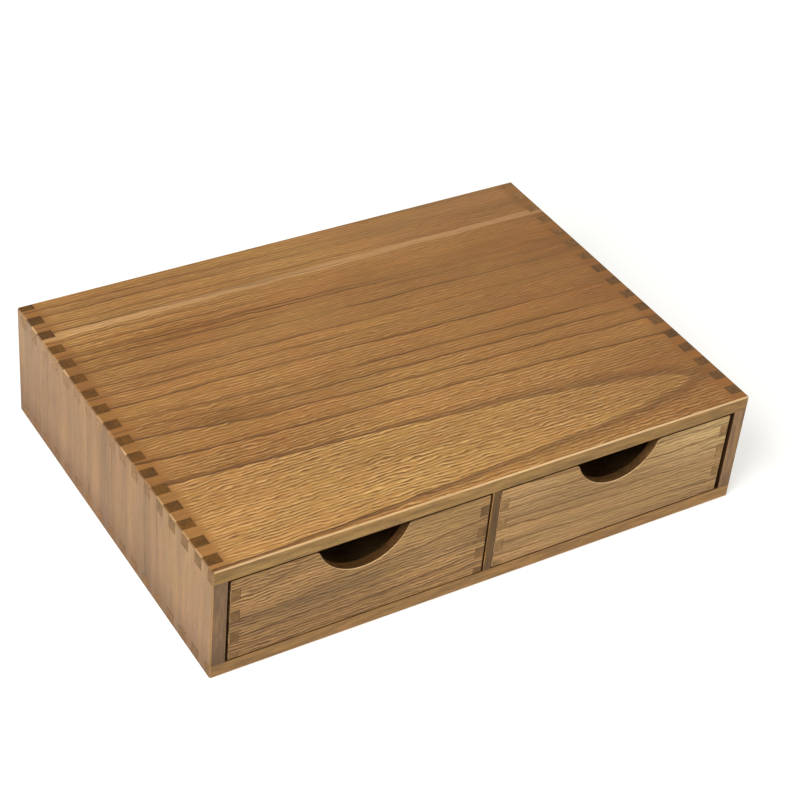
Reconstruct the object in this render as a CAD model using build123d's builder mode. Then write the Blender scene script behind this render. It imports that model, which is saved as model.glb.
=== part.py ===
from build123d import *
import os

# Two-drawer desktop cabinet in millimetres, +Z up, with drawers that open towards -Y.
# The origin is the middle of the footprint, on the surface that the cabinet stands on.

# Case boards
case_width = 389.9
case_depth = 285.0
case_height = 85.1
board_thickness = 10.0  # top and bottom boards
side_thickness = 10.0  # left and right boards
case_arris = 0.9  # outer edges are taken off by this much

# Finger joints, all cut with one cutter; the first finger is at the front of the case or the top of a drawer
finger_width = 8.5
case_first_finger = 6.5
drawer_first_finger = 7.2

# Divider, let into housings that stop short of the front edge
divider_thickness = 6.0
divider_arris = 0.5
housing_depth = 3.0
housing_setback = 12.0

# Back panel, lapped into a rebate round the rear of the case
back_thickness = 4.0
back_lap = 4.0
back_inset = 0.3
back_clearance = 0.2

# Flat-sided pins that hold the back panel
pin_length = 16.0
pin_width = 1.2
pin_thickness = 1.0
pin_head_width = 2.0
pin_head_depth = 0.8
pin_hole_clearance = 0.05
pin_end_margin = 28.0
pins_per_row = 4

# Drawer boards
drawer_front_thickness = 6.5
drawer_side_thickness = 6.5
drawer_back_thickness = 6.5
drawer_arris = 0.5

# Drawer bottom, held in a groove round the inside
bottom_thickness = 3.0
groove_depth = 3.0
groove_height = 6.0
groove_clearance = 0.2

# Room round each drawer in its bay
drawer_side_play = 3.2
drawer_top_gap = 1.8
drawer_run_gap = 0.3
drawer_front_inset = 0.2
drawer_back_gap = 0.5
left_drawer_gap = 2.0  # from the left side board
right_drawer_gap = 0.3  # from the divider

# Rounded finger pull in the top edge of each drawer front
pull_width = 62.0
pull_depth = 23.2
pull_shoulder_round = 3.5

# Cuts run past the surface by this much
overrun = 2.0

# Places worked out from the sizes above
case_front = -case_depth / 2
case_rear = case_depth / 2
inner_width = case_width - 2 * side_thickness
bay_width = (inner_width - divider_thickness) / 2
bay_height = case_height - 2 * board_thickness
rebate_depth = back_thickness + back_inset
back_seat = case_rear - rebate_depth
back_face = back_seat + back_thickness
rebate_width = inner_width + 2 * back_lap
rebate_height = bay_height + 2 * back_lap

drawer_width = bay_width - drawer_side_play
drawer_height = bay_height - drawer_run_gap - drawer_top_gap
drawer_floor = board_thickness + drawer_run_gap
drawer_top = drawer_floor + drawer_height
drawer_middle = drawer_floor + drawer_height / 2
drawer_front = case_front + drawer_front_inset
drawer_rear = back_seat - drawer_back_gap
drawer_length = drawer_rear - drawer_front
drawer_inner_width = drawer_width - 2 * drawer_side_thickness
drawer_inner_length = drawer_length - drawer_front_thickness - drawer_back_thickness
drawer_inner_centre = drawer_front + drawer_front_thickness + drawer_inner_length / 2
pull_radius = ((pull_width / 2) ** 2 + pull_depth**2) / (2 * pull_depth)
pull_centre = drawer_top + pull_radius - pull_depth

os.makedirs("parts", exist_ok=True)


def finger_spans(length, first_finger):
    # Stretches that the two boards of a joint take in turn; the last one takes what is left over
    count = max(1, round((length - first_finger) / finger_width))
    marks = [-overrun]
    for step in range(count):
        marks.append(first_finger + step * finger_width)
    marks.append(length + overrun)
    spans = list(zip(marks, marks[1:]))
    return spans[0::2], spans[1::2]


def write_piece(name, builder):
    builder.part.label = name
    export_step(builder.part, f"parts/{name}.step")


board_fingers, side_fingers = finger_spans(case_depth, case_first_finger)
end_fingers, drawer_side_fingers = finger_spans(drawer_height, drawer_first_finger)

# Room for the side boards' fingers, cut from the top and bottom boards
with BuildPart() as side_comb:
    with BuildSketch(Plane.XY.offset(-overrun)):
        for start, end in side_fingers:
            reach = (case_width - side_thickness + overrun) / 2
            place = case_front + (start + end) / 2
            with Locations((-reach, place), (reach, place)):
                Rectangle(side_thickness + overrun, end - start)
    extrude(amount=case_height + 2 * overrun)

# Room for the top and bottom boards' fingers, cut from the side boards
with BuildPart() as board_comb:
    with BuildSketch(Plane.YZ.offset(-case_width / 2 - overrun)):
        for start, end in board_fingers:
            place = case_front + (start + end) / 2
            low = (board_thickness - overrun) / 2
            with Locations((place, low), (place, case_height - low)):
                Rectangle(end - start, board_thickness + overrun)
    extrude(amount=case_width + 2 * overrun)

# Rebate round the rear of the case, where the back panel sits
with BuildPart() as rebate:
    with BuildSketch(Plane.XZ.offset(-back_seat)):
        with Locations((0, case_height / 2)):
            Rectangle(rebate_width, rebate_height)
    extrude(amount=-(rebate_depth + overrun))

# Housings for the divider's tongues, open at the rear
with BuildPart() as housings:
    with BuildSketch(Plane.YZ.offset(-divider_thickness / 2)):
        with Locations(((case_front + housing_setback + back_seat) / 2, case_height / 2)):
            Rectangle(back_seat - case_front - housing_setback, bay_height + 2 * housing_depth)
    extrude(amount=divider_thickness)

# Places of the pins on the rear face, in X and Z, halfway across the lap
pin_row_reach = inner_width / 2 - pin_end_margin
pin_row_step = 2 * pin_row_reach / (pins_per_row - 1)
pin_low = board_thickness - back_lap / 2
pin_places = []
for pin in range(pins_per_row):
    pin_places.append((pin * pin_row_step - pin_row_reach, pin_low))
    pin_places.append((pin * pin_row_step - pin_row_reach, case_height - pin_low))
for hand in (-1, 1):
    pin_places.append((hand * (inner_width + back_lap) / 2, case_height / 2))

# Pins with T heads, flush with the back panel
with BuildPart() as back_pins:
    with BuildSketch(Plane.XZ.offset(-back_face)):
        with Locations(*pin_places):
            Rectangle(pin_head_width, pin_thickness)
    extrude(amount=pin_head_depth)
    with BuildSketch(Plane.XZ.offset(-back_face)):
        with Locations(*pin_places):
            Rectangle(pin_width, pin_thickness)
    extrude(amount=pin_length)

# Holes for the pins, sunk for the heads
with BuildPart() as pin_holes:
    hole_thickness = pin_thickness + 2 * pin_hole_clearance
    with BuildSketch(Plane.XZ.offset(-back_face - overrun)):
        with Locations(*pin_places):
            Rectangle(pin_head_width + 2 * pin_hole_clearance, hole_thickness)
    extrude(amount=overrun + pin_head_depth)
    with BuildSketch(Plane.XZ.offset(-back_face)):
        with Locations(*pin_places):
            Rectangle(pin_width + 2 * pin_hole_clearance, hole_thickness)
    extrude(amount=pin_length + pin_hole_clearance)

# Top board, its outer edges taken off before the joints are cut
with BuildPart() as case_top:
    with BuildSketch(Plane.XY.offset(case_height - board_thickness)):
        Rectangle(case_width, case_depth)
    extrude(amount=board_thickness)
    inner_face = case_top.faces().sort_by(Axis.Z)[0]
    chamfer(case_top.edges() - inner_face.edges(), length=case_arris)
    add(side_comb.part, mode=Mode.SUBTRACT)
    add(rebate.part, mode=Mode.SUBTRACT)
    add(housings.part, mode=Mode.SUBTRACT)
    add(pin_holes.part, mode=Mode.SUBTRACT)

# Bottom board, the top board turned over
with BuildPart() as case_bottom:
    mirror(case_top.part, about=Plane.XY.offset(case_height / 2))

# Left side board
with BuildPart() as case_left_side:
    with BuildSketch(Plane.YZ.offset(-case_width / 2)):
        with Locations((0, case_height / 2)):
            Rectangle(case_depth, case_height)
    extrude(amount=side_thickness)
    inner_face = case_left_side.faces().sort_by(Axis.X)[-1]
    chamfer(case_left_side.edges() - inner_face.edges(), length=case_arris)
    add(board_comb.part, mode=Mode.SUBTRACT)
    add(rebate.part, mode=Mode.SUBTRACT)
    add(pin_holes.part, mode=Mode.SUBTRACT)

# Right side board
with BuildPart() as case_right_side:
    mirror(case_left_side.part, about=Plane.YZ)

# Divider between the bays, with a tongue along its top and bottom edges
with BuildPart() as case_divider:
    with BuildSketch(Plane.YZ.offset(-divider_thickness / 2)):
        with Locations(((case_front + back_seat) / 2, case_height / 2)):
            Rectangle(back_seat - case_front, bay_height)
    extrude(amount=divider_thickness)
    front_face = case_divider.faces().sort_by(Axis.Y)[0]
    chamfer(front_face.edges().filter_by(Axis.Z), length=divider_arris)
    add(housings.part)

# Back panel, with a hole for each pin
with BuildPart() as case_back:
    with BuildSketch(Plane.XZ.offset(-back_seat)):
        with Locations((0, case_height / 2)):
            Rectangle(rebate_width - 2 * back_clearance, rebate_height - 2 * back_clearance)
    extrude(amount=-back_thickness)
    add(pin_holes.part, mode=Mode.SUBTRACT)

write_piece("case_top", case_top)
write_piece("case_bottom", case_bottom)
write_piece("case_left_side", case_left_side)
write_piece("case_right_side", case_right_side)
write_piece("case_divider", case_divider)
write_piece("case_back", case_back)
write_piece("back_pins", back_pins)


def build_drawer(name, left):
    right = left + drawer_width
    middle = left + drawer_width / 2

    # Room for the side boards' fingers, cut from the front and back boards
    with BuildPart() as side_room:
        with BuildSketch(Plane.XZ.offset(overrun - drawer_front)):
            for start, end in drawer_side_fingers:
                reach = (drawer_side_thickness - overrun) / 2
                place = drawer_top - (start + end) / 2
                with Locations((left + reach, place), (right - reach, place)):
                    Rectangle(drawer_side_thickness + overrun, end - start)
        extrude(amount=-(drawer_length + 2 * overrun))

    # Room for the front and back boards' fingers, cut from the side boards
    with BuildPart() as end_room:
        with BuildSketch(Plane.YZ.offset(left - overrun)):
            for start, end in end_fingers:
                place = drawer_top - (start + end) / 2
                with Locations((drawer_front + (drawer_front_thickness - overrun) / 2, place)):
                    Rectangle(drawer_front_thickness + overrun, end - start)
                with Locations((drawer_rear - (drawer_back_thickness - overrun) / 2, place)):
                    Rectangle(drawer_back_thickness + overrun, end - start)
        extrude(amount=drawer_width + 2 * overrun)

    # Groove that the bottom slides into, stopped inside the corners
    with BuildPart() as groove:
        with BuildSketch(Plane.XY.offset(drawer_floor + groove_height)):
            with Locations((middle, drawer_inner_centre)):
                Rectangle(drawer_inner_width + 2 * groove_depth, drawer_inner_length + 2 * groove_depth)
        extrude(amount=bottom_thickness + groove_clearance)

    # Front board, with the finger pull cut out of its top edge
    with BuildPart() as front:
        with BuildSketch(Plane.XZ.offset(-drawer_front)) as outline:
            with Locations((middle, drawer_middle)):
                Rectangle(drawer_width, drawer_height)
            with Locations((middle, pull_centre)):
                Circle(pull_radius, mode=Mode.SUBTRACT)
            top_points = outline.vertices().group_by(Axis.Y)[-1].sort_by(Axis.X)
            fillet(top_points[1:-1], radius=pull_shoulder_round)
        extrude(amount=-drawer_front_thickness)
        rim = front.edges().group_by(Axis.Y)[0]
        columns = front.edges().filter_by(Axis.Y).group_by(Axis.X)
        chamfer(rim + columns[0] + columns[-1], length=drawer_arris)
        add(side_room.part, mode=Mode.SUBTRACT)
        add(groove.part, mode=Mode.SUBTRACT)

    # Back board
    with BuildPart() as back:
        with BuildSketch(Plane.XZ.offset(-drawer_rear)):
            with Locations((middle, drawer_middle)):
                Rectangle(drawer_width, drawer_height)
        extrude(amount=drawer_back_thickness)
        inner_face = back.faces().sort_by(Axis.Y)[0]
        chamfer(back.edges() - inner_face.edges(), length=drawer_arris)
        add(side_room.part, mode=Mode.SUBTRACT)
        add(groove.part, mode=Mode.SUBTRACT)

    # Left side board
    with BuildPart() as left_side:
        with BuildSketch(Plane.YZ.offset(left)):
            with Locations(((drawer_front + drawer_rear) / 2, drawer_middle)):
                Rectangle(drawer_length, drawer_height)
        extrude(amount=drawer_side_thickness)
        inner_face = left_side.faces().sort_by(Axis.X)[-1]
        chamfer(left_side.edges() - inner_face.edges(), length=drawer_arris)
        add(end_room.part, mode=Mode.SUBTRACT)
        add(groove.part, mode=Mode.SUBTRACT)

    # Right side board
    with BuildPart() as right_side:
        mirror(left_side.part, about=Plane.YZ.offset(middle))

    # Bottom, resting on the lower edge of the groove
    with BuildPart() as bottom:
        with BuildSketch(Plane.XY.offset(drawer_floor + groove_height)):
            with Locations((middle, drawer_inner_centre)):
                reach = groove_depth - groove_clearance
                Rectangle(drawer_inner_width + 2 * reach, drawer_inner_length + 2 * reach)
        extrude(amount=bottom_thickness)

    write_piece(f"{name}_front", front)
    write_piece(f"{name}_back", back)
    write_piece(f"{name}_left_side", left_side)
    write_piece(f"{name}_right_side", right_side)
    write_piece(f"{name}_bottom", bottom)


build_drawer("left_drawer", -inner_width / 2 + left_drawer_gap)
build_drawer("right_drawer", divider_thickness / 2 + right_drawer_gap)
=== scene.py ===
import bpy
import bmesh
import math
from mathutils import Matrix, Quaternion, Vector


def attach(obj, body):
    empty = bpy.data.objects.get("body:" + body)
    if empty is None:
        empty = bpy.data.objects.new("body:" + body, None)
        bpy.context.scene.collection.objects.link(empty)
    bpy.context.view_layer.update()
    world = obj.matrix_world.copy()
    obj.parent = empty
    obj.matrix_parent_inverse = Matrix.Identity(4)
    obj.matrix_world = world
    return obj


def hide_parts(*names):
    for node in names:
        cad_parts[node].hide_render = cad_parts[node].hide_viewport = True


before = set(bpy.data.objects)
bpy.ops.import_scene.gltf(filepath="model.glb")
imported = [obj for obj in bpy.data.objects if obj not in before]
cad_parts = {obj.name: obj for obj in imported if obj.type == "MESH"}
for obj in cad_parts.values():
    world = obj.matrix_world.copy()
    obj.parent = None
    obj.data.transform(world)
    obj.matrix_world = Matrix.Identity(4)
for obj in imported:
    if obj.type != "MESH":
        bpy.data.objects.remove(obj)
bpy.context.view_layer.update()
print("frame loaded:", len(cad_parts), "boards, panels and pin groups")


# small helpers for shader nodes

def newTree(name):
    material = bpy.data.materials.new(name)
    material.use_nodes = True
    material.node_tree.nodes.clear()
    return material, material.node_tree


def put(tree, kind, feeds=None, **settings):  # one node; feeds are sockets or plain values
    node = tree.nodes.new("ShaderNode" + kind)
    for key, value in settings.items():
        setattr(node, key, value)
    for key, value in (feeds or {}).items():
        if isinstance(value, bpy.types.NodeSocket):
            tree.links.new(value, node.inputs[key])
        else:
            node.inputs[key].default_value = value
    return node


def calc(tree, operation, *terms):
    return put(tree, "Math", dict(enumerate(terms)), operation=operation).outputs[0]


def product(tree, first, *others):
    for other in others:
        first = calc(tree, "MULTIPLY", first, other)
    return first


def remap(tree, value, low, high, toLow=0.0, toHigh=1.0):  # a smooth step from one level to another
    feeds = {"Value": value, "From Min": low, "From Max": high, "To Min": toLow, "To Max": toHigh}
    return put(tree, "MapRange", feeds, interpolation_type="SMOOTHSTEP").outputs[0]


def fadeOff(tree, value, fade):  # 1 up to the fade's start, its least level from its end on
    start, end, least = fade
    return remap(tree, value, start, end, 1.0, least)


def swing(tree, noise, reach):  # a noise of 0 to 1 as a move by up to reach to either side
    return calc(tree, "MULTIPLY", calc(tree, "SUBTRACT", noise, 0.5), 2 * reach)


def rgba(colour):
    return (*colour, 1.0)


def blendColour(tree, blendType, amount, first, second):  # first and second are sockets or plain colours
    first, second = [rgba(part) if isinstance(part, tuple) else part for part in (first, second)]
    feeds = {0: amount, 6: first, 7: second}
    return put(tree, "Mix", feeds, data_type="RGBA", blend_type=blendType).outputs[2]


def layOver(tree, amount, colour, other):
    return blendColour(tree, "MIX", amount, colour, other)


def tinted(tree, colour, tint, amount=1.0):
    return blendColour(tree, "MULTIPLY", amount, colour, tint)


seedSteps = (1.3, 2.1, 0.7)  # how far a seed of 1 moves a noise along each axis


def noiseIn(tree, space, stretch, seed, detail, roughness=0.5):
    shift = [seed * step for step in seedSteps]
    mapped = put(tree, "Mapping", {"Vector": space, "Scale": stretch, "Location": shift})
    feeds = {"Vector": mapped.outputs[0], "Scale": 1.0, "Detail": detail, "Roughness": roughness}
    return put(tree, "TexNoise", feeds)


def curveOf(tree, value, points):  # a broken line through the points, read at value
    curve = put(tree, "FloatCurve", {"Value": value})
    line = curve.mapping.curves[0]
    line.points[0].location = points[0]
    line.points[1].location = points[-1]
    for point in points[1:-1]:
        line.points.new(*point)
    for point in line.points:
        point.handle_type = "VECTOR"
    curve.mapping.update()
    return curve.outputs[0]


def rampOf(tree, value, stops):  # grey levels between the stops, read at value
    ramp = put(tree, "ValToRGB", {0: value})
    marks = ramp.color_ramp.elements
    while len(marks) < len(stops):
        marks.new(0.5)
    for mark, (position, level) in zip(marks, stops):
        mark.position = position
        mark.color = rgba((level, level, level))
    return ramp.outputs[0]


def nearSpot(tree, along, across, spot):  # 1 in the middle of an oval spot, 0 from its rim on
    alongAt, acrossAt, alongReach, acrossReach = spot
    alongOff = calc(tree, "DIVIDE", calc(tree, "SUBTRACT", along, alongAt), alongReach)
    acrossOff = calc(tree, "DIVIDE", calc(tree, "SUBTRACT", across, acrossAt), acrossReach)
    away = calc(tree, "MULTIPLY_ADD", alongOff, alongOff, calc(tree, "MULTIPLY", acrossOff, acrossOff))
    return remap(tree, calc(tree, "SQRT", away), 1.0, 0.0)


# the noises of the wood figure: their scale along and across the grain, what is added to the board's
# seed, and their detail; a board may bring a grain of its own for one of them, such as lineGrain
noises = {
    "wander": {"grain": (5.0, 20.0), "shift": 0.0, "detail": 2.0},
    "ripple": {"grain": (30.0, 60.0), "shift": 3.1, "detail": 1.0},
    "jitter": {"grain": (75.0, 190.0), "shift": 1.7, "detail": 2.0},
    "line": {"grain": (6.0, 60.0), "shift": 8.4, "detail": 1.0},
    "stroke": {"grain": (100.0, 430.0), "shift": 5.2, "detail": 1.0},
    "patch": {"grain": (10.0, 28.0), "shift": 9.5, "detail": 1.0},
    "pore": {"grain": (95.0, 1500.0), "shift": 2.9, "detail": 1.0},
    "fibre": {"grain": (26.0, 800.0), "shift": 4.3, "detail": 3.0, "roughness": 0.65},
    "cloud": {"grain": (4.0, 13.0), "shift": 6.6, "detail": 2.0},
    "band": {"grain": (7.0, 85.0), "shift": 12.4, "detail": 2.0},
    "hue": {"grain": (22.0, 55.0), "shift": 17.3, "detail": 1.0},
    "speck": {"grain": (260.0, 520.0), "shift": 7.7, "detail": 3.0, "roughness": 0.65},
    "finger": {"grain": (75.0, 75.0), "shift": 15.9, "detail": 1.0},
    "edge": {"grain": (45.0, 330.0), "shift": 19.1, "detail": 3.0, "roughness": 0.6},
    "rub": {"grain": (26.0, 26.0), "shift": 14.6, "detail": 2.0},
}


def grainNoise(tree, wood, name, space):
    noise = noises[name]
    alongScale, acrossScale = wood.get(name + "Grain", noise["grain"])
    stretch = (alongScale, acrossScale, acrossScale)
    seed = wood["seed"] + noise["shift"]
    return noiseIn(tree, space, stretch, seed, noise["detail"], noise.get("roughness", 0.5)).outputs


# the wood is solid: its figure runs through each board along, across and through the grain, in metres

# a face counts as one of these by the way it looks: not at all where its normal's part along one axis has
# the first size, and fully where it has the second
facings = {
    "end": (0.55, 0.85),  # an end of the board
    "edge": (0.45, 0.20),  # a narrow edge
    "inner": (0.80, 0.95),  # a face inside a bay or drawer
    "front": (-0.05, -0.55),  # a face turned to the front
    "corner": (0.30, 0.60),  # an upright corner
}
diagonalParts = (0.6, 0.8)  # along and across the grain
edgeQuiet = 0.7  # how much less of the figure narrow edges and ends show


def boardPlace(tree, wood):  # where a point lies in the board, and which way its face looks
    coordinates = put(tree, "TexCoord")
    place = put(tree, "SeparateXYZ", {0: coordinates.outputs["Object"]}).outputs
    facing = put(tree, "SeparateXYZ", {0: coordinates.outputs["Normal"]}).outputs
    along, across, through = [place[axis] for axis in wood["axes"]]
    acrossPart = calc(tree, "MULTIPLY", across, diagonalParts[1])
    edgeOn = remap(tree, calc(tree, "ABSOLUTE", facing[wood["axes"][2]]), *facings["edge"])
    return {
        "place": place, "facing": facing, "along": along, "across": across, "through": through,
        "straight": put(tree, "CombineXYZ", {0: along, 1: across, 2: through}).outputs[0],
        "diagonal": calc(tree, "MULTIPLY_ADD", along, diagonalParts[0], acrossPart),
        "endOn": remap(tree, calc(tree, "ABSOLUTE", facing[wood["axes"][0]]), *facings["end"]),
        "edgeOn": edgeOn, "quiet": calc(tree, "MULTIPLY_ADD", edgeOn, -edgeQuiet, 1.0),
    }


weaveSlant = 0.9  # how far the fine strokes lean over on their way through the board


def wanderingFibres(tree, wood, figure):  # the fibres wander a little, and the rings and strokes follow them
    along, straight = figure["along"], figure["straight"]
    level, drift = grainNoise(tree, wood, "wander", straight)
    drift = put(tree, "SeparateXYZ", {0: drift}).outputs
    ripple = grainNoise(tree, wood, "ripple", straight)[0]
    sway = swing(tree, drift[0], wood["wander"])
    lift = swing(tree, drift[1], wood["wander"])
    kink = swing(tree, ripple, wood["ripple"])
    across = calc(tree, "ADD", calc(tree, "ADD", figure["across"], sway), kink)
    through = calc(tree, "ADD", figure["through"], lift)
    slant = calc(tree, "MULTIPLY_ADD", through, weaveSlant, across)
    if "swirl" in wood:  # the rings bend round an old branch
        swirl = nearSpot(tree, along, figure["across"], wood["swirl"])
        across = calc(tree, "MULTIPLY_ADD", swirl, wood["swirlPush"], across)
    space = put(tree, "CombineXYZ", {0: along, 1: across, 2: through}).outputs[0]
    return {"wander": level, "acrossNow": across, "throughNow": through, "slant": slant, "space": space}


ringLook = {  # a range is from and to, then the levels there where it has four numbers
    "uneven": 2.2, "unevenReach": 2.6,  # rings that the count is off by, and rings over which that changes
    "tremble": 0.0018,  # metres
    "countStep": 0.0004,  # metres between two counts, which tell how close the rings lie
    "leastCrowding": 20.0,  # rings per metre
    "leastSlope": 0.16,
    "profileWidth": 0.012,  # metres along the face, with the line in the middle
    "profile": ((0.0, 0.0), (0.43, 0.0), (0.455, 0.10), (0.473, 0.90), (0.50, 1.0),
                (0.525, 0.86), (0.56, 0.34), (0.66, 0.18), (0.84, 0.08), (1.0, 0.02)),
    "fading": (0.36, 0.60),
    "turningBack": (0.04, 0.22, 0.25, 1.0),
}


def ringCount(tree, radius, wood):  # how many growth rings lie inside this radius
    if "ringMarks" in wood:
        marks = wood["ringMarks"]
        points = [(mark / marks[-1], (number + 1) / len(marks)) for number, mark in enumerate(marks)]
        points.insert(0, (0.0, wood["heart"] / len(marks)))
        share = curveOf(tree, calc(tree, "DIVIDE", radius, marks[-1]), points)
        return calc(tree, "MULTIPLY", share, len(marks))
    spacing = wood["ringSpacing"]
    reach = spacing * ringLook["unevenReach"]
    feeds = {"W": calc(tree, "DIVIDE", radius, reach), "Scale": 1.0, "Detail": 1.0}
    uneven = put(tree, "TexNoise", feeds, noise_dimensions="1D").outputs[0]
    uneven = calc(tree, "MULTIPLY", uneven, ringLook["uneven"])
    return calc(tree, "ADD", calc(tree, "DIVIDE", radius, spacing), uneven)


def growthRings(tree, wood, figure):  # rings round the heart of the log, which leans away from the board
    along = figure["along"]
    (heartAcross, heartThrough), (leanAcross, leanThrough) = wood["heartAt"], wood["lean"]
    jitter = grainNoise(tree, wood, "jitter", figure["space"])[0]
    offset = calc(tree, "SUBTRACT", jitter, 0.5)
    tremble = calc(tree, "MULTIPLY_ADD", offset, ringLook["tremble"], figure["acrossNow"])
    sideways = calc(tree, "SUBTRACT", tremble, calc(tree, "MULTIPLY_ADD", along, leanAcross, heartAcross))
    heartDepth = calc(tree, "MULTIPLY_ADD", along, leanThrough, heartThrough)
    inward = calc(tree, "SUBTRACT", figure["throughNow"], heartDepth)
    squares = calc(tree, "MULTIPLY_ADD", sideways, sideways, calc(tree, "MULTIPLY", inward, inward))
    radius = calc(tree, "SQRT", squares)
    tilt = calc(tree, "DIVIDE", calc(tree, "ABSOLUTE", sideways), radius)
    slope = calc(tree, "MAXIMUM", tilt, ringLook["leastSlope"])

    step = ringLook["countStep"]
    rings = ringCount(tree, radius, wood)
    crowding = calc(tree, "SUBTRACT", ringCount(tree, calc(tree, "ADD", radius, step), wood), rings)
    crowding = calc(tree, "MAXIMUM", calc(tree, "DIVIDE", crowding, step), ringLook["leastCrowding"])
    fromLine = calc(tree, "SUBTRACT", calc(tree, "FRACT", calc(tree, "ADD", rings, 0.5)), 0.5)
    perMetre = calc(tree, "MULTIPLY", crowding, slope)  # rings per metre along the face
    fromLine = calc(tree, "DIVIDE", fromLine, perMetre)
    profileAt = calc(tree, "MULTIPLY_ADD", fromLine, 1 / ringLook["profileWidth"], 0.5)
    number = calc(tree, "ADD", calc(tree, "FLOOR", rings), wood["seed"])
    return {
        "jitter": jitter, "radius": radius, "tilt": tilt, "slope": slope,
        "ringTone": put(tree, "TexWhiteNoise", {"W": number}, noise_dimensions="1D").outputs[0],
        "profile": rampOf(tree, profileAt, ringLook["profile"]),
    }


def ringLines(tree, wood, figure):  # the rings' dark lines, which fade and break off in places
    along, radius = figure["along"], figure["radius"]
    fading = grainNoise(tree, wood, "line", figure["space"])[0]
    level = remap(tree, fading, *ringLook["fading"], wood["lineLow"], 1.0)
    softness = None
    if "lineFade" in wood:  # fainter towards one corner of the board
        level = calc(tree, "MULTIPLY", level, fadeOff(tree, figure["diagonal"], wood["lineFade"]))
    if "wholeLines" in wood:  # unbroken towards one end
        breaksFrom, wholeFrom, wholeLevel = wood["wholeLines"]
        level = calc(tree, "MAXIMUM", level, remap(tree, along, breaksFrom, wholeFrom, 0.0, wholeLevel))
    if "boldLines" in wood:  # the rings near the heart show without a break
        boldTo, faintFrom = wood["boldLines"]
        level = calc(tree, "MAXIMUM", level, remap(tree, radius, faintFrom, boldTo))
    if "softRim" in wood:  # the innermost ring, from a crisp line at one end to a soft band at the other
        rim = wood["softRim"]
        blurFrom, blurTo, blur = rim["blur"]
        softness = remap(tree, along, rim["crispTo"], rim["softFrom"])
        innermost = remap(tree, radius, rim["at"] + blurFrom, rim["at"] + blurTo)
        blurred = calc(tree, "MULTIPLY", softness, innermost)
        level = calc(tree, "MULTIPLY", level, calc(tree, "MULTIPLY_ADD", blurred, -blur, 1.0))
    turned = remap(tree, figure["tilt"], *ringLook["turningBack"])  # soft where a ring turns back
    ringDark = product(tree, figure["profile"], level, turned, wood["lineDepth"], figure["quiet"])
    return {"ringDark": ringDark, "softness": softness}


strokeLook = {
    "dark": (0.0, 0.9),
    "pale": (0.2, 1.0), "paleLag": 2.4,  # radians behind the dark line
    "breaks": (0.36, 0.58, 0.18, 1.0),  # from and to in the noise, and the levels there
    "patches": (0.34, 0.62),
    "pores": (0.42, 0.30),
}


def fineStrokes(tree, wood, figure):  # fine wavy dark lines along the fibres, each with a paler one beside it
    space = figure["space"]
    phase = calc(tree, "DIVIDE", figure["slant"], wood["weavePitch"])
    phase = calc(tree, "MULTIPLY_ADD", figure["jitter"], wood["weaveJitter"], phase)
    turns = calc(tree, "MULTIPLY", phase, 2 * math.pi)
    darkLine = remap(tree, calc(tree, "SINE", turns), *strokeLook["dark"])
    lagging = calc(tree, "SUBTRACT", turns, strokeLook["paleLag"])
    paleLine = remap(tree, calc(tree, "SINE", lagging), *strokeLook["pale"])
    broken = remap(tree, grainNoise(tree, wood, "stroke", space)[0], *strokeLook["breaks"])
    patches = grainNoise(tree, wood, "patch", space)[0]
    patches = remap(tree, patches, *strokeLook["patches"], wood["weaveLow"], 1.0)
    strength = product(tree, broken, patches, figure["quiet"], calc(tree, "SUBTRACT", 1.0, figure["endOn"]))
    inside = None
    if "weaveFade" in wood:  # weaker towards one corner of the board
        strength = calc(tree, "MULTIPLY", strength, fadeOff(tree, figure["diagonal"], wood["weaveFade"]))
    if "weaveOuter" in wood:  # weaker away from the heart
        strength = calc(tree, "MULTIPLY", strength, fadeOff(tree, figure["radius"], wood["weaveOuter"]))
    if "smoothEnds" in wood:  # none on the fingers at either end
        smoothFrom, smoothTo = wood["smoothEnds"]
        inside = remap(tree, calc(tree, "ABSOLUTE", figure["along"]), smoothTo, smoothFrom)
        strength = calc(tree, "MULTIPLY", strength, inside)
    return {
        "inside": inside,
        "dashes": calc(tree, "MULTIPLY", darkLine, strength),
        "glints": calc(tree, "MULTIPLY", paleLine, strength),
        "pores": remap(tree, grainNoise(tree, wood, "pore", space)[0], *strokeLook["pores"]),
        "fibres": grainNoise(tree, wood, "fibre", space)[0],
    }


toneLook = {
    "cloud": (0.30, 0.70),
    "hue": (0.32, 0.68),
    "smoothGold": 0.40,  # how much of the gold stays on smooth ends
    "glintGold": (0.1, 0.7), "glintOnBrown": 0.6,  # glints are weaker where the wood is brown
    "stripeRim": (1.25, 0.8),  # outer and inner rim of a stripe, in half widths
    "plainGold": 0.4, "plainShare": 0.7,  # ends and edges are of a plainer wood
    "specks": (0.32, 0.66, 0.76, 1.18),
    "noise": (0.3, 0.7),
}


def goldShare(tree, wood, figure):  # where the wood is golden rather than brown
    cloud = grainNoise(tree, wood, "cloud", figure["space"])[0]
    golden = remap(tree, cloud, *toneLook["cloud"], wood["goldLow"], wood["goldHigh"])
    if "goldMarks" in wood:  # by the distance from the heart
        reach = wood["goldMarks"][-1][0]
        points = [(mark / reach, level) for mark, level in wood["goldMarks"]]
        share = calc(tree, "DIVIDE", figure["radius"], reach)
        golden = calc(tree, "ADD", golden, curveOf(tree, share, points))
    if "goldLean" in wood:  # more towards one end
        golden = calc(tree, "MULTIPLY_ADD", figure["along"], wood["goldLean"], golden)
    if "smoothEnds" in wood:
        kept = remap(tree, figure["inside"], 0.0, 1.0, toneLook["smoothGold"], 1.0)
        golden = calc(tree, "MULTIPLY", golden, kept)
    return calc(tree, "MAXIMUM", calc(tree, "MINIMUM", golden, 1.0), 0.0)


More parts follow.
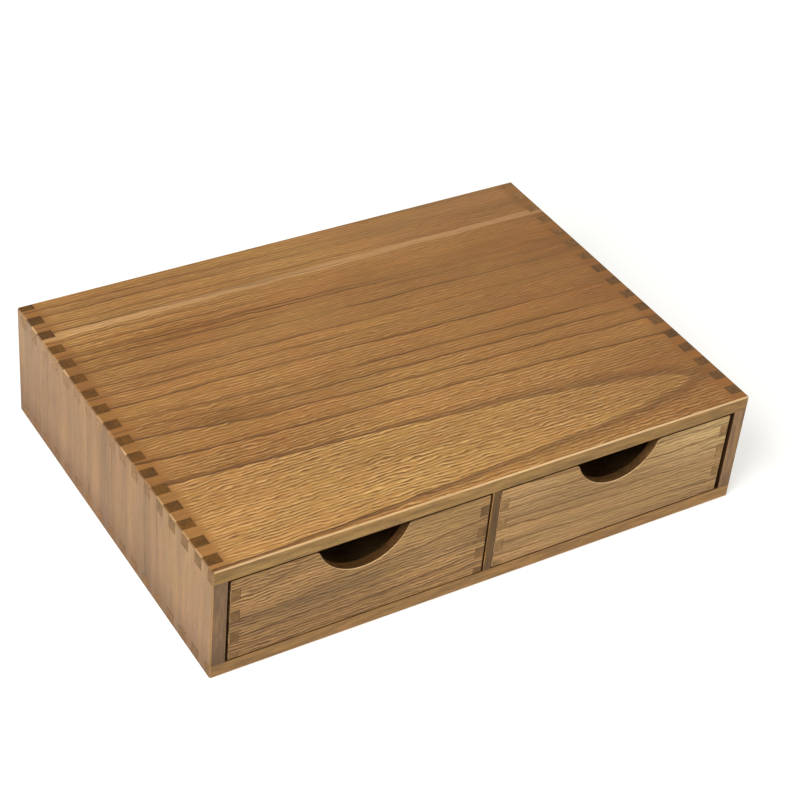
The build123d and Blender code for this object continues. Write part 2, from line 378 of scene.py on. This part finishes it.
def faceColour(tree, wood, figure):
    golden = goldShare(tree, wood, figure)
    colour = layOver(tree, golden, wood["brown"], wood["gold"])
    hue = remap(tree, grainNoise(tree, wood, "hue", figure["space"])[0], *toneLook["hue"])
    colour = tinted(tree, colour, layOver(tree, hue, wood["coolTint"], wood["warmTint"]))
    weakGlint = wood["glintDepth"] * toneLook["glintOnBrown"]
    glintLevel = remap(tree, golden, *toneLook["glintGold"], weakGlint, wood["glintDepth"])
    colour = layOver(tree, calc(tree, "MULTIPLY", figure["glints"], glintLevel), colour, wood["glint"])
    colour = layOver(tree, calc(tree, "MULTIPLY", figure["dashes"], wood["dashDepth"]), colour, wood["dash"])
    colour = layOver(tree, figure["ringDark"], colour, wood["line"])
    if "softRim" in wood:
        rim, softness = wood["softRim"], figure["softness"]
        fromRim = calc(tree, "SUBTRACT", figure["radius"], rim["at"])
        fromRim = calc(tree, "DIVIDE", fromRim, figure["slope"])  # metres along the face
        rimEnd = remap(tree, softness, 0.0, 1.0, rim["crispReach"], rim["softReach"])
        rimDepth = remap(tree, softness, 0.0, 1.0, rim["crispDepth"], rim["softDepth"])
        rising = remap(tree, fromRim, *rim["rise"])
        falling = remap(tree, fromRim, rimEnd, rim["full"])
        colour = layOver(tree, product(tree, rising, falling, rimDepth), colour, wood["line"])
    for spot, tint in wood.get("spots", []):  # lighter or darker spots
        colour = tinted(tree, colour, tint, nearSpot(tree, figure["along"], figure["acrossNow"], spot))
    if "paleStripe" in wood:
        middle, halfWidth, gain = wood["paleStripe"]
        outer, inner = [halfWidth * rim for rim in toneLook["stripeRim"]]
        off = calc(tree, "ABSOLUTE", calc(tree, "SUBTRACT", figure["acrossNow"], middle))
        colour = layOver(tree, remap(tree, off, outer, inner, 0.0, gain), colour, wood["stripe"])
    return colour


def aboutOne(tree, noise, spread, low=0.0, high=1.0):  # a noise as a factor of 1, give or take spread
    return remap(tree, noise, low, high, 1.0 - spread, 1.0 + spread)


def shadeOf(tree, wood, figure):  # lighter and darker rings, fibres and bands, and dark pores
    bands = grainNoise(tree, wood, "band", figure["space"])[0]
    shade = aboutOne(tree, figure["ringTone"], wood["ringContrast"])
    for noise, depth in ((figure["fibres"], wood["fibreDepth"]), (bands, wood["bandDepth"])):
        shade = calc(tree, "MULTIPLY_ADD", calc(tree, "SUBTRACT", noise, 0.5), depth, shade)
    return calc(tree, "MULTIPLY_ADD", figure["pores"], -wood["poreDepth"], shade)


def wholeColour(tree, wood, figure):  # broad faces, narrow edges, ends and the foot
    place, facing, straight = figure["place"], figure["facing"], figure["straight"]
    shade = shadeOf(tree, wood, figure)
    colour = tinted(tree, faceColour(tree, wood, figure), shade)
    if "inner" in wood:  # the faces inside the bays and drawers are darkened by a painted shade
        axis, sign = wood["inner"]  # a sign of 0 stands for both sides
        inward = calc(tree, "MULTIPLY", facing[axis], sign) if sign else calc(tree, "ABSOLUTE", facing[axis])
        shadedInnerColour = tinted(tree, colour, wood["innerShadeTint"])
        colour = layOver(tree, remap(tree, inward, *facings["inner"]), colour, shadedInnerColour)
    goldPart = toneLook["plainGold"]
    pairs = zip(wood["brown"], wood["gold"])
    plain = tuple((1 - goldPart) * dark + goldPart * light for dark, light in pairs)
    plain = layOver(tree, toneLook["plainShare"], colour, tinted(tree, plain, shade))

    rearward = remap(tree, place["Y"], *wood["rearward"])
    endTint = layOver(tree, rearward, wood["endTint"], wood.get("rearEndTint", wood["endTint"]))
    endColour = tinted(tree, plain, endTint)
    specks = grainNoise(tree, wood, "speck", straight)[0]
    endColour = tinted(tree, endColour, remap(tree, specks, *toneLook["specks"]))
    fingers = grainNoise(tree, wood, "finger", straight)[0]
    endColour = tinted(tree, endColour, aboutOne(tree, fingers, wood["fingerTone"], *toneLook["noise"]))
    edges = grainNoise(tree, wood, "edge", straight)[0]
    # narrow edges take their tint; on the drawer fronts it is a painted shade on the top edges and pull walls
    edgeColourAndShade = tinted(tree, plain, wood["edgeTintAndShade"])
    edgeColourAndShade = tinted(tree, edgeColourAndShade, aboutOne(tree, edges, wood["edgeTone"], *toneLook["noise"]))
    colour = layOver(tree, figure["edgeOn"], colour, edgeColourAndShade)
    colour = layOver(tree, figure["endOn"], colour, endColour)
    if "footShadeTint" in wood:  # painted shade, darker near the ground
        colour = tinted(tree, colour, wood["footShadeTint"], remap(tree, place["Z"], wood["footShadeReach"], 0.0))
    return colour


wearLook = {  # from and to in the noise, and the levels there
    "front": (0.3, 0.7, 0.6, 1.0),
    "patches": (0.42, 0.66, 0.0, 0.70),
}


def wearHighlightAndJoints(tree, wood, figure, colour):  # pale rubbed edges, brightened into a painted highlight, and dark joint lines
    place, facing = figure["place"], figure["facing"]
    eased = put(tree, "Attribute", attribute_name="eased").outputs["Fac"]
    frontOn = remap(tree, facing["Y"], *facings["front"])
    sideOn = calc(tree, "ABSOLUTE", facing["X"])
    atCorner = remap(tree, sideOn, *facings["corner"], 1.0, wood["cornerWearAndHighlight"])
    frontWearAndHighlight = product(tree, frontOn, remap(tree, figure["wander"], *wearLook["front"]), atCorner)
    patchWear = remap(tree, grainNoise(tree, wood, "rub", figure["straight"])[0], *wearLook["patches"])
    rubbedAndHighlit = calc(tree, "MULTIPLY", eased, calc(tree, "MAXIMUM", frontWearAndHighlight, patchWear))
    if "topWearAndHighlight" in wood:  # an upper edge that lies close under the case shows little of the pale wear and painted highlight
        rubbedAndHighlit = calc(tree, "MULTIPLY", rubbedAndHighlit, fadeOff(tree, place["Z"], wood["topWearAndHighlight"]))
    colour = layOver(tree, calc(tree, "MULTIPLY", rubbedAndHighlit, wood["edgeWearAndHighlight"]), colour, wood["worn"])
    joint = put(tree, "Attribute", attribute_name="joint").outputs["Fac"]
    return layOver(tree, calc(tree, "MULTIPLY", joint, wood["seamDepth"]), colour, wood["seam"])


reliefLook = {  # what stands up and what lies deep, and the metres that a height of 1 stands for
    "fibres": 0.5, "ringDark": -0.35, "dashes": -0.45, "glints": 0.2, "pores": -0.5, "distance": 0.0004,
}
sheenLook = {"fibres": (0.25, 0.75), "glossier": 0.06, "duller": 0.08, "ringDark": 0.1, "endOn": 0.15}


def reliefOf(tree, wood, figure):
    height = calc(tree, "MULTIPLY", figure["ringDark"], reliefLook["ringDark"])
    for part in ("fibres", "dashes", "glints", "pores"):
        height = calc(tree, "MULTIPLY_ADD", figure[part], reliefLook[part], height)
    feeds = {"Strength": wood["relief"], "Distance": reliefLook["distance"], "Height": height}
    return put(tree, "Bump", feeds).outputs[0]


def sheenOf(tree, wood, figure):
    least, most = wood["roughness"] - sheenLook["glossier"], wood["roughness"] + sheenLook["duller"]
    rough = remap(tree, figure["fibres"], *sheenLook["fibres"], least, most)
    for part in ("ringDark", "endOn"):
        rough = calc(tree, "MULTIPLY_ADD", figure[part], sheenLook[part], rough)
    return rough


def makeWood(name, wood):
    material, tree = newTree(name)
    figure = boardPlace(tree, wood)
    for stage in (wanderingFibres, growthRings, ringLines, fineStrokes):
        figure.update(stage(tree, wood, figure))
    colour = wearHighlightAndJoints(tree, wood, figure, wholeColour(tree, wood, figure))
    shader = put(tree, "BsdfPrincipled", {
        "Base Color": colour, "Roughness": sheenOf(tree, wood, figure),
        "Normal": reliefOf(tree, wood, figure), "Specular IOR Level": wood["gloss"],
    })
    put(tree, "OutputMaterial", {"Surface": shader.outputs[0]})
    return material


# a board: its CAD solid with every edge softened, and marks on the eased edges and the joint lines

softEdges = {
    "mergeWithin": 2e-6,
    "flatAngle": 0.6, "sharpAngle": 24, "shadeAngle": 40,  # degrees
    "squareFace": 0.96,  # a face whose normal has no part as large as this is a slanted, eased one
    "cutFacing": 0.2,  # a curved cut's own faces look less to the front than this and aren't eased edges
    "besideEased": 0.3,  # how much of the pale wear and painted highlight the softened rim of an eased face gets, where 1 is the face itself
}


def easedBoard(piece):
    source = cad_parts[piece["node"]]
    mesh = bpy.data.meshes.new(piece["name"])
    bm = bmesh.new()
    bm.from_mesh(source.data)
    bmesh.ops.remove_doubles(bm, verts=bm.verts, dist=softEdges["mergeWithin"])
    flatAngle, sharpAngle = math.radians(softEdges["flatAngle"]), math.radians(softEdges["sharpAngle"])
    bmesh.ops.dissolve_limit(bm, angle_limit=flatAngle, verts=bm.verts, edges=bm.edges)
    easedLayer = bm.faces.layers.float.new("eased")
    jointLayer = bm.faces.layers.float.new("joint")
    bm.normal_update()
    for face in bm.faces:
        slanted = max(abs(part) for part in face.normal) < softEdges["squareFace"]
        if slanted and (not piece.get("curvedCut") or abs(face.normal.y) > softEdges["cutFacing"]):
            face[easedLayer] = 1.0
    sharp = [edge for edge in bm.edges if edge.is_manifold and edge.calc_face_angle() > sharpAngle]
    softened = bmesh.ops.bevel(bm, geom=sharp, offset=piece["softening"], offset_type="OFFSET",
                               affect="EDGES", segments=2, profile=0.5, material=-1, clamp_overlap=True)
    fresh = set(softened["faces"])
    for face in fresh:
        around = [near for edge in face.edges for near in edge.link_faces if near not in fresh]
        onEased = any(near[easedLayer] > softEdges["besideEased"] for near in around)
        face[easedLayer] = softEdges["besideEased"] if onEased else 0.0
        face[jointLayer] = 0.0 if onEased else 1.0
    for face in bm.faces:
        face.smooth = True
    bm.to_mesh(mesh)
    bm.free()
    mesh.set_sharp_from_angle(angle=math.radians(softEdges["shadeAngle"]))
    board = bpy.data.objects.new(piece["name"], mesh)
    bpy.context.scene.collection.objects.link(board)
    even = board.modifiers.new("evenShading", "WEIGHTED_NORMAL")
    even.keep_sharp = True
    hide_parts(piece["node"])
    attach(board, piece["body"])
    return board


def dressBoard(piece):
    board = easedBoard(piece)
    material = makeWood(piece["name"] + "Wood", {**brownWood, **piece["wood"]})
    board.data.materials.append(material)
    print(piece["name"], "softened and dressed:", len(board.data.polygons), "faces")


# the brown stained wood that all boards share; a board's own wood overrides it
brownWood = {
    "gold": (0.505, 0.260, 0.072),
    "brown": (0.250, 0.099, 0.020),
    "line": (0.110, 0.042, 0.010),
    "dash": (0.115, 0.046, 0.010),
    "glint": (0.920, 0.580, 0.235),
    # pale eased edges: wear, brightened into a painted highlight
    "worn": (0.760, 0.510, 0.260),
    "seam": (0.060, 0.026, 0.008),
    "seamDepth": 0.55,
    "warmTint": (1.025, 0.995, 1.02),
    "coolTint": (0.975, 1.005, 0.975),
    "endTint": (0.85, 0.95, 1.30),
    "rearward": (-0.14, 0.05),  # from where to where an end goes over to its rearEndTint
    "fingerTone": 0.20,
    "edgeTintAndShade": (1.0, 1.0, 1.0),
    "edgeTone": 0.24,
    # faces inside the bays and drawers are darkened by this painted shade
    "innerShadeTint": (0.32, 0.28, 0.24),
    "goldLow": 0.15,
    "goldHigh": 0.65,
    "ringSpacing": 0.011,
    "ringContrast": 0.05,
    "lineDepth": 0.85,
    "lineLow": 0.45,
    "wander": 0.0030,
    "ripple": 0.0016,
    "weavePitch": 0.0024,
    "weaveJitter": 1.5,
    "weaveLow": 0.60,
    "dashDepth": 0.95,
    "glintDepth": 0.45,
    "poreDepth": 0.18,
    "fibreDepth": 0.55,
    "bandDepth": 0.35,
    "edgeWearAndHighlight": 0.75,
    "cornerWearAndHighlight": 0.15,
    "relief": 0.45,
    "roughness": 0.48,
    "gloss": 0.24,
}

# axes are the board's directions along, across and through the grain; heartAt is the log's heart across
# and through, lean is how it leans along the grain, and heart is the ring count there; a spot is its
# middle and its reach along and across, and a tint
topBoard = {
    "name": "topBoard", "node": "case_top", "body": "case", "slot": "case_wood", "softening": 0.00022,
    "wood": {
        "axes": "XYZ", "seed": 2.3,
        "heartAt": (-0.1037, 0.0371), "lean": (-0.0164, -0.0470), "heart": 0.45,
        "ringMarks": [0.0560, 0.0725, 0.0860, 0.0970, 0.1076, 0.1255, 0.1380, 0.1475, 0.1640, 0.1757, 0.1815,
                      0.1845, 0.1923, 0.2010, 0.2110, 0.2190, 0.2300, 0.2380, 0.2500, 0.2640, 0.2900],
        "goldMarks": [(0.0, 0.62), (0.0556, 0.60), (0.0566, 0.22), (0.0760, 0.19), (0.0900, 0.19),
                      (0.1300, 0.04), (0.1850, 0.11), (0.2100, 0.31), (0.2900, 0.38)],
        "goldLow": -0.08, "goldHigh": 0.32, "goldLean": -0.35,
        "line": (0.088, 0.033, 0.008), "lineDepth": 1.0, "lineLow": 0.18,
        "boldLines": (0.080, 0.112),  # bold up to, faint from, in metres from the heart
        "lineFade": (0.055, 0.125, 0.35),  # from and to along the diagonal, and the least level
        "wholeLines": (0.02, -0.10, 0.72),  # broken from, whole from, and the level there
        "softRim": {
            "at": 0.0560, "crispTo": -0.10, "softFrom": 0.10,
            "crispReach": 0.0032, "crispDepth": 0.50, "softReach": 0.0095, "softDepth": 0.44,
            "rise": (-0.0012, 0.0002), "full": 0.0006,  # the band sets in, and is darkest up to
            "blur": (0.0085, 0.0065, 0.55),  # how far out the ring's own line is blurred, and how much
        },
        "wander": 0.0014, "swirl": (-0.1850, -0.0150, 0.1000, 0.0330), "swirlPush": -0.0090,
        "dash": (0.098, 0.038, 0.008), "dashDepth": 0.80, "glintDepth": 0.54,
        "weavePitch": 0.0026, "weaveLow": 0.70, "weaveOuter": (0.055, 0.080, 0.72),
        "weaveFade": (-0.10, 0.16, 0.36), "smoothEnds": (0.176, 0.188),
        "paleStripe": (0.1020, 0.0028, 0.26),  # middle, half width and strength
        "stripe": (0.840, 0.500, 0.235),
        "spots": [((-0.1150, 0.0725, 0.1350, 0.0250), (0.80, 0.69, 0.56)),
                  ((0.1250, 0.1300, 0.1700, 0.0450), (0.84, 0.82, 0.93)),
                  ((-0.1220, -0.0205, 0.0420, 0.0085), (0.74, 0.67, 0.55)),
                  ((0.1500, -0.0780, 0.0850, 0.0200), (0.88, 0.86, 0.88))],
        "edgeTintAndShade": (0.85, 1.01, 1.12), "seamDepth": 0.40,
        "endTint": (0.64, 0.71, 0.98), "rearEndTint": (1.10, 1.36, 2.60), "fingerTone": 0.08,
        "inner": ("Z", -1.0),
    },
}
dressBoard(topBoard)

bottomBoard = {
    "name": "bottomBoard", "node": "case_bottom", "body": "case", "slot": "case_wood", "softening": 0.00022,
    "wood": {
        "axes": "XYZ", "seed": 11.8, "heartAt": (0.035, 0.050), "lean": (0.02, 0.06), "ringSpacing": 0.013,
        "edgeTintAndShade": (0.89, 0.99, 1.16), "seamDepth": 0.22,
        "endTint": (0.62, 0.67, 0.94), "rearEndTint": (0.84, 0.92, 1.42), "fingerTone": 0.05,
        "inner": ("Z", 1.0),
    },
}
dressBoard(bottomBoard)

sideBoards = {
    "softening": 0.00022,
    "shared": {
        "axes": "ZYX",
        "gold": (0.378, 0.209, 0.089), "brown": (0.302, 0.163, 0.070), "innerShadeTint": (0.22, 0.19, 0.16),
        "ringSpacing": 0.020, "lineDepth": 0.45, "lineLow": 0.0, "lineGrain": (24.0, 60.0), "wander": 0.0022,
        "dashDepth": 0.10, "glintDepth": 0.06, "fibreDepth": 0.90,
        # the foot is darkened by a painted shade
        "bandDepth": 0.92, "bandGrain": (6.0, 80.0), "footShadeTint": (0.64, 0.57, 0.50), "footShadeReach": 0.034,
    },
    "left": {
        "seed": 21.4, "heartAt": (0.190, -0.225), "lean": (0.03, 0.0), "heart": 0.0,
        "ringMarks": [0.0560, 0.0878, 0.1020, 0.1623, 0.1998, 0.2463, 0.2642, 0.2811, 0.3060, 0.3450],
        "spots": [((0.0720, 0.1250, 0.0450, 0.0650), (1.22, 1.30, 1.42)),
                  ((0.0270, -0.0500, 0.0320, 0.0650), (0.89, 0.90, 0.86))],
        "endTint": (0.34, 0.245, 0.06), "edgeTintAndShade": (0.51, 0.515, 0.54), "edgeWearAndHighlight": 0.05, "seamDepth": 0.32,
        "inner": ("X", 1.0),
    },
    "right": {
        "seed": 33.9, "heartAt": (-0.210, 0.240), "lean": (-0.04, 0.0),
        "endTint": (0.42, 0.36, 0.25), "rearEndTint": (0.68, 0.61, 0.47), "rearward": (-0.02, 0.14),
        "fingerTone": 0.10, "edgeTintAndShade": (0.86, 0.87, 0.84),
        "inner": ("X", -1.0),
    },
}
for hand in ("left", "right"):
    dressBoard({
        "name": hand + "SideBoard", "node": "case_" + hand + "_side", "body": "case", "slot": "case_wood",
        "softening": sideBoards["softening"], "wood": {**sideBoards["shared"], **sideBoards[hand]},
    })

dividerBoard = {
    "name": "dividerBoard", "node": "case_divider", "body": "case", "slot": "case_wood", "softening": 0.00015,
    "wood": {
        "axes": "ZYX", "seed": 41.2, "heartAt": (0.160, 0.060), "lean": (0.02, 0.0), "ringSpacing": 0.014,
        "edgeTintAndShade": (0.32, 0.325, 0.235), "edgeWearAndHighlight": 0.12, "inner": ("X", 0.0),
    },
}
dressBoard(dividerBoard)

thinPanels = {  # the plywood of the back panel and the drawer bottoms
    "softening": 0.00012,
    "wood": {
        "gold": (0.470, 0.270, 0.110), "brown": (0.380, 0.205, 0.080), "line": (0.230, 0.110, 0.038),
        "ringSpacing": 0.016, "lineDepth": 0.5, "wander": 0.006, "dashDepth": 0.20, "glintDepth": 0.08,
        "roughness": 0.60, "gloss": 0.25,
    },
}
backPanel = {
    "name": "backPanel", "node": "case_back", "body": "case", "slot": "thin_panel",
    "softening": thinPanels["softening"],
    "wood": {**thinPanels["wood"], "axes": "XZY", "seed": 51.6,
             "heartAt": (0.020, 0.190), "lean": (0.03, 0.10)},
}
dressBoard(backPanel)

drawers = {
    "softening": 0.00018,
    "shared": {
        "ringSpacing": 0.0095, "wander": 0.0032, "glintDepth": 0.30, "innerShadeTint": (0.62, 0.58, 0.54),
        # pale rims of wear and painted highlight on the eased edges
        "edgeWearAndHighlight": 0.92, "cornerWearAndHighlight": 0.32,
        "topWearAndHighlight": (0.0718, 0.0726, 0.12),  # from and to in height, and the least level
    },
    "left": {
        "wood": {"gold": (0.396, 0.217, 0.071), "brown": (0.274, 0.138, 0.041)},
        "front": {
            "axes": "XZY", "seed": 61.5, "heartAt": (0.075, -0.105), "lean": (0.03, 0.05),
            "goldLow": 0.47, "goldHigh": 0.97, "goldLean": 2.9,
            "line": (0.075, 0.029, 0.007), "ringSpacing": 0.0085, "lineDepth": 0.95, "lineLow": 0.60,
            "dash": (0.080, 0.032, 0.008), "dashDepth": 0.95, "glintDepth": 0.34,
            "weaveLow": 0.75, "weavePitch": 0.0025, "weaveFade": (-0.06, 0.05, 0.66),
            "bandDepth": 1.6, "bandGrain": (4.0, 52.0),
            "spots": [((-0.0450, 0.0400, 0.0500, 0.0420), (1.16, 1.19, 1.20)),
                      ((-0.1100, 0.0420, 0.0450, 0.0220), (0.86, 0.87, 0.88))],
            # painted shade: the top edge and the pull's wall are darkened as if in shadow
            "edgeTintAndShade": (0.25, 0.205, 0.17), "endTint": (0.36, 0.30, 0.25),
        },
        "back": {"axes": "XZY", "seed": 65.1, "heartAt": (0.020, 0.165), "lean": (-0.02, 0.04)},
        "left_side": {"axes": "YZX", "seed": 67.7, "heartAt": (0.090, -0.215), "lean": (0.02, 0.05),
                      "endTint": (0.60, 0.585, 0.58), "inner": ("X", -1.0)},
        "right_side": {"axes": "YZX", "seed": 69.2, "heartAt": (-0.020, 0.035), "lean": (0.02, 0.05),
                       "endTint": (0.60, 0.585, 0.58), "inner": ("X", 1.0)},
        "bottom": {"axes": "XYZ", "seed": 71.9, "heartAt": (0.030, -0.030), "lean": (0.05, 0.06)},
    },
    "right": {
        "wood": {"gold": (0.440, 0.252, 0.092), "brown": (0.338, 0.184, 0.062), "seamDepth": 0.25},
        "front": {
            "axes": "XZY", "seed": 81.3, "heartAt": (-0.030, -0.110), "lean": (-0.02, 0.04),
            "goldLow": 0.42, "goldHigh": 0.86,
            "ringSpacing": 0.0085, "lineDepth": 0.82, "lineLow": 0.40,
            "dashDepth": 0.50, "glintDepth": 0.24, "weavePitch": 0.0027,
            "bandDepth": 0.85, "bandGrain": (4.0, 70.0),
            "spots": [((0.1620, 0.0660, 0.0700, 0.0340), (1.30, 1.50, 1.66)),
                      ((0.1600, 0.0120, 0.0800, 0.0170), (0.82, 0.84, 0.86)),
                      ((0.0260, 0.0620, 0.0450, 0.0260), (1.15, 1.20, 1.30))],
            # painted shade: the top edge and the pull's wall are darkened as if in shadow
            "edgeTintAndShade": (0.25, 0.205, 0.17), "endTint": (0.36, 0.30, 0.25),
        },
        "back": {"axes": "XZY", "seed": 85.4, "heartAt": (0.060, 0.160), "lean": (0.03, 0.05)},
        "left_side": {"axes": "YZX", "seed": 87.6, "heartAt": (0.010, -0.030), "lean": (0.02, -0.05),
                      "endTint": (0.78, 0.78, 0.79), "inner": ("X", -1.0)},
        "right_side": {"axes": "YZX", "seed": 89.8, "heartAt": (0.110, 0.215), "lean": (-0.03, 0.05),
                       "endTint": (0.78, 0.78, 0.79), "inner": ("X", 1.0)},
        "bottom": {"axes": "XYZ", "seed": 91.1, "heartAt": (-0.020, -0.035), "lean": (-0.05, 0.05)},
    },
}
for hand in ("left", "right"):
    for board in ("front", "back", "left_side", "right_side", "bottom"):
        thin = board == "bottom"
        common = thinPanels["wood"] if thin else {**drawers["shared"], **drawers[hand]["wood"]}
        dressBoard({
            "name": hand + "Drawer" + "".join(word.capitalize() for word in board.split("_")),
            "node": hand + "_drawer_" + board,
            "body": hand + "_drawer",
            "slot": "thin_panel" if thin else "drawer_wood",
            "softening": thinPanels["softening"] if thin else drawers["softening"],
            "curvedCut": board == "front",
            "wood": {**common, **drawers[hand][board]},
        })

# steel pins of the back panel keep their CAD shape
pinSteel = {
    "colour": (0.52, 0.52, 0.53), "dull": (0.30, 0.29, 0.28),
    "grain": (2600.0, 900.0, 2600.0), "seed": 4.0, "detail": 3.0, "grainRoughness": 0.6,
    "relief": 0.25, "reliefDistance": 0.00005,
    "roughness": 0.38, "grainRange": (0.3, 0.7), "glossier": 0.08, "duller": 0.12,
}
steel, steelTree = newTree("pinSteel")
steelPlace = put(steelTree, "TexCoord").outputs["Object"]
steelGrain = noiseIn(steelTree, steelPlace, pinSteel["grain"], pinSteel["seed"], pinSteel["detail"],
                     pinSteel["grainRoughness"]).outputs[0]
steelColour = layOver(steelTree, steelGrain, pinSteel["colour"], pinSteel["dull"])
steelBump = put(steelTree, "Bump", {"Strength": pinSteel["relief"], "Distance": pinSteel["reliefDistance"],
                                    "Height": steelGrain})
steelRough = remap(steelTree, steelGrain, *pinSteel["grainRange"],
                   pinSteel["roughness"] - pinSteel["glossier"], pinSteel["roughness"] + pinSteel["duller"])
steelShader = put(steelTree, "BsdfPrincipled", {
    "Base Color": steelColour, "Metallic": 1.0, "Roughness": steelRough, "Normal": steelBump.outputs[0],
})
put(steelTree, "OutputMaterial", {"Surface": steelShader.outputs[0]})
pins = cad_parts["back_pins"]
pins.data.materials.clear()
pins.data.materials.append(steel)
print("pins dressed")

# floor, light and camera
studio = {
    "paper": (1.0, 1.0, 0.966), "mattPaper": (0.80, 0.80, 0.78),
    "floorReach": 9.0, "floorDrop": 0.0002,  # just clear of the underside
    "glowFrom": 0.35, "glowTo": 1.00, "glowNear": 0.40, "glowFar": 0.85,
    "air": (1.0, 1.0, 1.0), "worldLight": 0.33,
    "lampAim": (0.0, 0.0, 0.03),
    "keyWatts": 20.0, "keyAt": (-0.95, -0.45, 1.15), "keySize": 0.9,
    "fillWatts": 6.5, "fillAt": (0.72, -0.98, 1.04), "fillSize": 0.8,
}


def seenItself(tree):  # 1 for rays that show the paper itself, 0 for those that only carry its light
    rays = put(tree, "LightPath")
    seen = calc(tree, "MAXIMUM", rays.outputs["Is Camera Ray"], rays.outputs["Is Glossy Ray"])
    return calc(tree, "MAXIMUM", seen, rays.outputs["Is Transmission Ray"])


floorMesh = bpy.data.meshes.new("floor")
floorBm = bmesh.new()
bmesh.ops.create_grid(floorBm, x_segments=1, y_segments=1, size=studio["floorReach"])
floorBm.to_mesh(floorMesh)
floorBm.free()
floor = bpy.data.objects.new("floor", floorMesh)
bpy.context.scene.collection.objects.link(floor)
floor.location.z = -studio["floorDrop"]
paper, paperTree = newTree("floorPaper")
floorPlace = put(paperTree, "TexCoord").outputs["Object"]
fromMiddle = put(paperTree, "VectorMath", {0: floorPlace}, operation="LENGTH").outputs["Value"]
level = remap(paperTree, fromMiddle, studio["glowFrom"], studio["glowTo"],
              studio["glowNear"], studio["glowFar"])  # the lamps fall off, the paper stays white
level = calc(paperTree, "MULTIPLY", seenItself(paperTree), level)
glow = put(paperTree, "Emission", {"Color": rgba(studio["paper"]), "Strength": level})
matt = put(paperTree, "BsdfDiffuse", {"Color": rgba(studio["mattPaper"])})
both = put(paperTree, "AddShader", {0: matt.outputs[0], 1: glow.outputs[0]})
put(paperTree, "OutputMaterial", {"Surface": both.outputs[0]})
floorMesh.materials.append(paper)

world = bpy.data.worlds.new("studioAir")
bpy.context.scene.world = world
world.use_nodes = True
airTree = world.node_tree
airTree.nodes.clear()
air = put(airTree, "Background", {"Color": rgba(studio["air"]), "Strength": studio["worldLight"]})
backdrop = put(airTree, "Background", {"Color": rgba(studio["paper"]), "Strength": 1.0})
airMix = put(airTree, "MixShader", {0: seenItself(airTree), 1: air.outputs[0], 2: backdrop.outputs[0]})
put(airTree, "OutputWorld", {"Surface": airMix.outputs[0]})


def turnTowards(aim, at):
    return (Vector(aim) - Vector(at)).to_track_quat("-Z", "Y")


for lampName in ("key", "fill"):
    lamp = bpy.data.lights.new(lampName + "Light", "AREA")
    lamp.shape = "SQUARE"
    lamp.size = studio[lampName + "Size"]
    lamp.energy = studio[lampName + "Watts"]
    holder = bpy.data.objects.new(lampName + "Light", lamp)
    holder.location = studio[lampName + "At"]
    holder.rotation_euler = turnTowards(studio["lampAim"], studio[lampName + "At"]).to_euler()
    bpy.context.scene.collection.objects.link(holder)

view = {
    "eye": (-0.6076, -0.9131, 0.8931), "aim": (0.0156, -0.0039, 0.0425), "roll": 5.9,
    "lens": 93.75, "sensor": 36.0, "clipStart": 0.05,
}
camera = bpy.data.cameras.new("photoCamera")
camera.lens = view["lens"]
camera.sensor_width = view["sensor"]
camera.clip_start = view["clipStart"]
cameraHolder = bpy.data.objects.new("photoCamera", camera)
cameraHolder.location = view["eye"]
cameraHolder.rotation_mode = "QUATERNION"
roll = Quaternion((0.0, 0.0, 1.0), math.radians(view["roll"]))
cameraHolder.rotation_quaternion = turnTowards(view["aim"], view["eye"]) @ roll
bpy.context.scene.collection.objects.link(cameraHolder)
bpy.context.scene.camera = cameraHolder
bpy.context.scene.view_settings.view_transform = "Standard"
print("floor, light and camera set")
